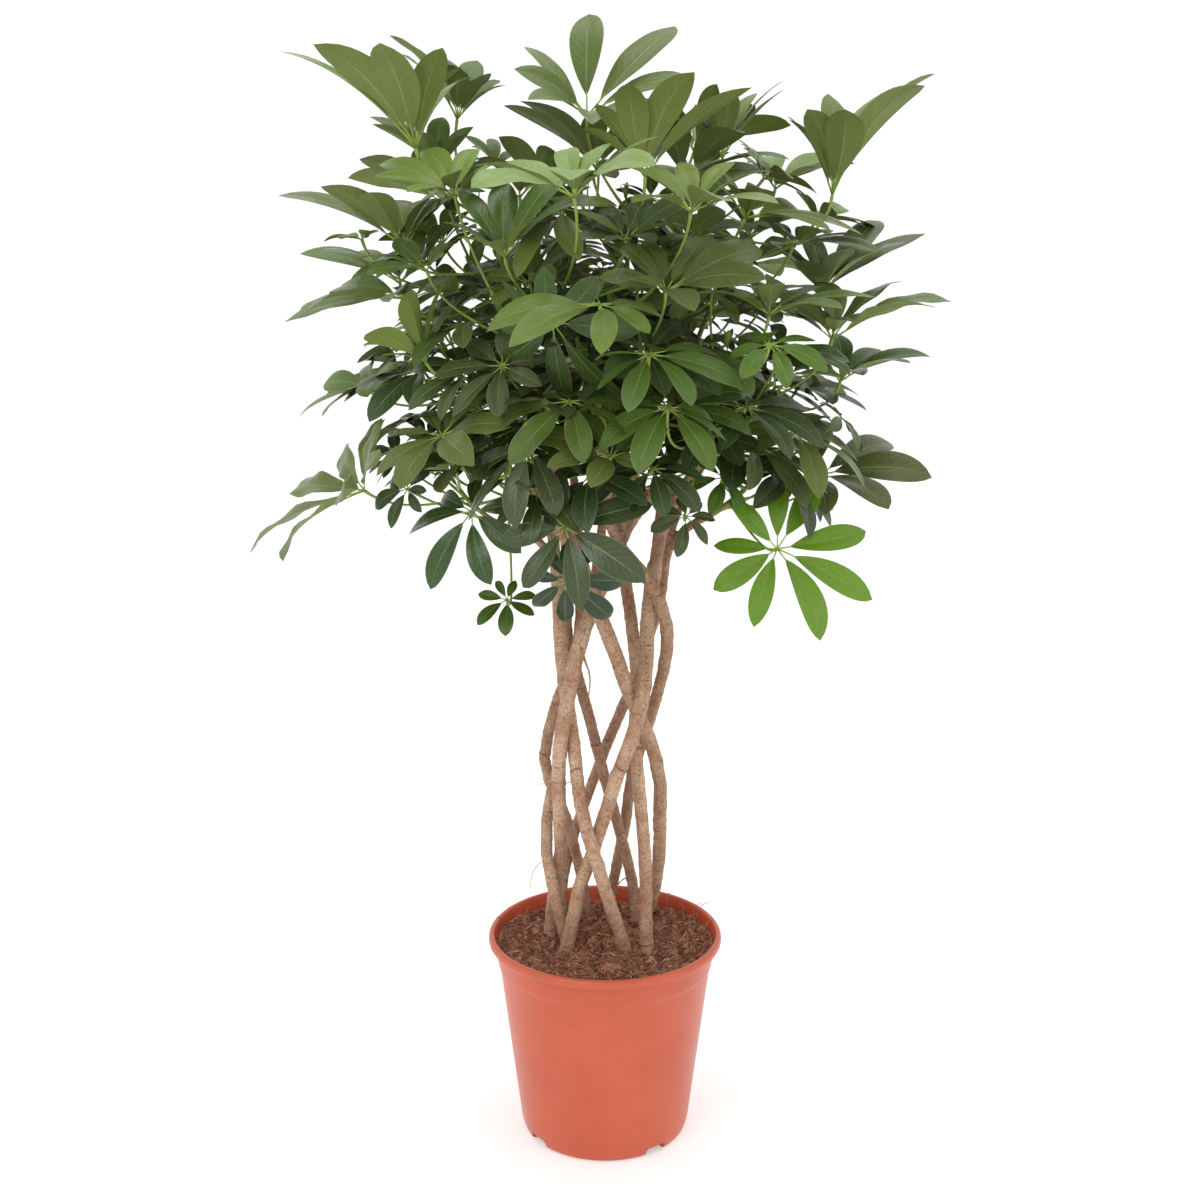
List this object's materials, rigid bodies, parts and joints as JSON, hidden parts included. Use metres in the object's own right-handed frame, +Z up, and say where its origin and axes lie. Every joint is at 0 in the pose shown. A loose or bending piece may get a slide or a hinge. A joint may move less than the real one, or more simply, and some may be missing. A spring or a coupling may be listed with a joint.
{
  "type": "potted umbrella plant",
  "caption": "Tall umbrella plant with an open lattice of woven woody stems and a full crown of fingered leaves, standing in a round plastic grow pot filled with soil.",
  "frame": {"origin": "centre of the pot's foot, on the floor plane", "axes": "+Z up along the pot's axis; -Y towards the viewer of the picture, +X to the viewer's right"},
  "size_m": [0.6498, 0.5722, 1.1214],
  "materials": {
    "pot_plastic": "satin",
    "soil": "matte",
    "bark": "matte",
    "leaf": "satin"
  },
  "bodies": {
    "root": {"pot": "pot_plastic", "soil": "soil", "stem_back_left": "bark", "stem_back_middle": "bark", "stem_back_right": "bark", "stem_front_left": "bark", "stem_front_middle": "bark", "stem_front_right": "bark", "stem_left": "bark", "stem_left_behind": "bark", "stem_left_outer": "bark", "stem_right": "bark", "shoot_back_left_1": "leaf", "shoot_back_left_2": "leaf", "shoot_back_left_3": "leaf", "shoot_back_middle_1": "leaf", "shoot_back_middle_2": "leaf", "shoot_back_middle_3": "leaf", "shoot_back_right_1": "leaf", "shoot_back_right_2": "leaf", "shoot_front_left_1": "leaf", "shoot_front_left_2": "leaf", "shoot_front_middle_1": "leaf", "shoot_front_middle_2": "leaf", "shoot_front_middle_3": "leaf", "shoot_front_right_1": "leaf", "shoot_front_right_2": "leaf", "shoot_front_right_3": "leaf", "shoot_left_1": "leaf", "shoot_left_2": "leaf", "shoot_left_behind_1": "leaf", "shoot_left_behind_2": "leaf", "shoot_left_outer_1": "leaf", "shoot_left_outer_2": "leaf", "shoot_right_1": "leaf", "shoot_right_2": "leaf"}
  },
  "joints": []
}
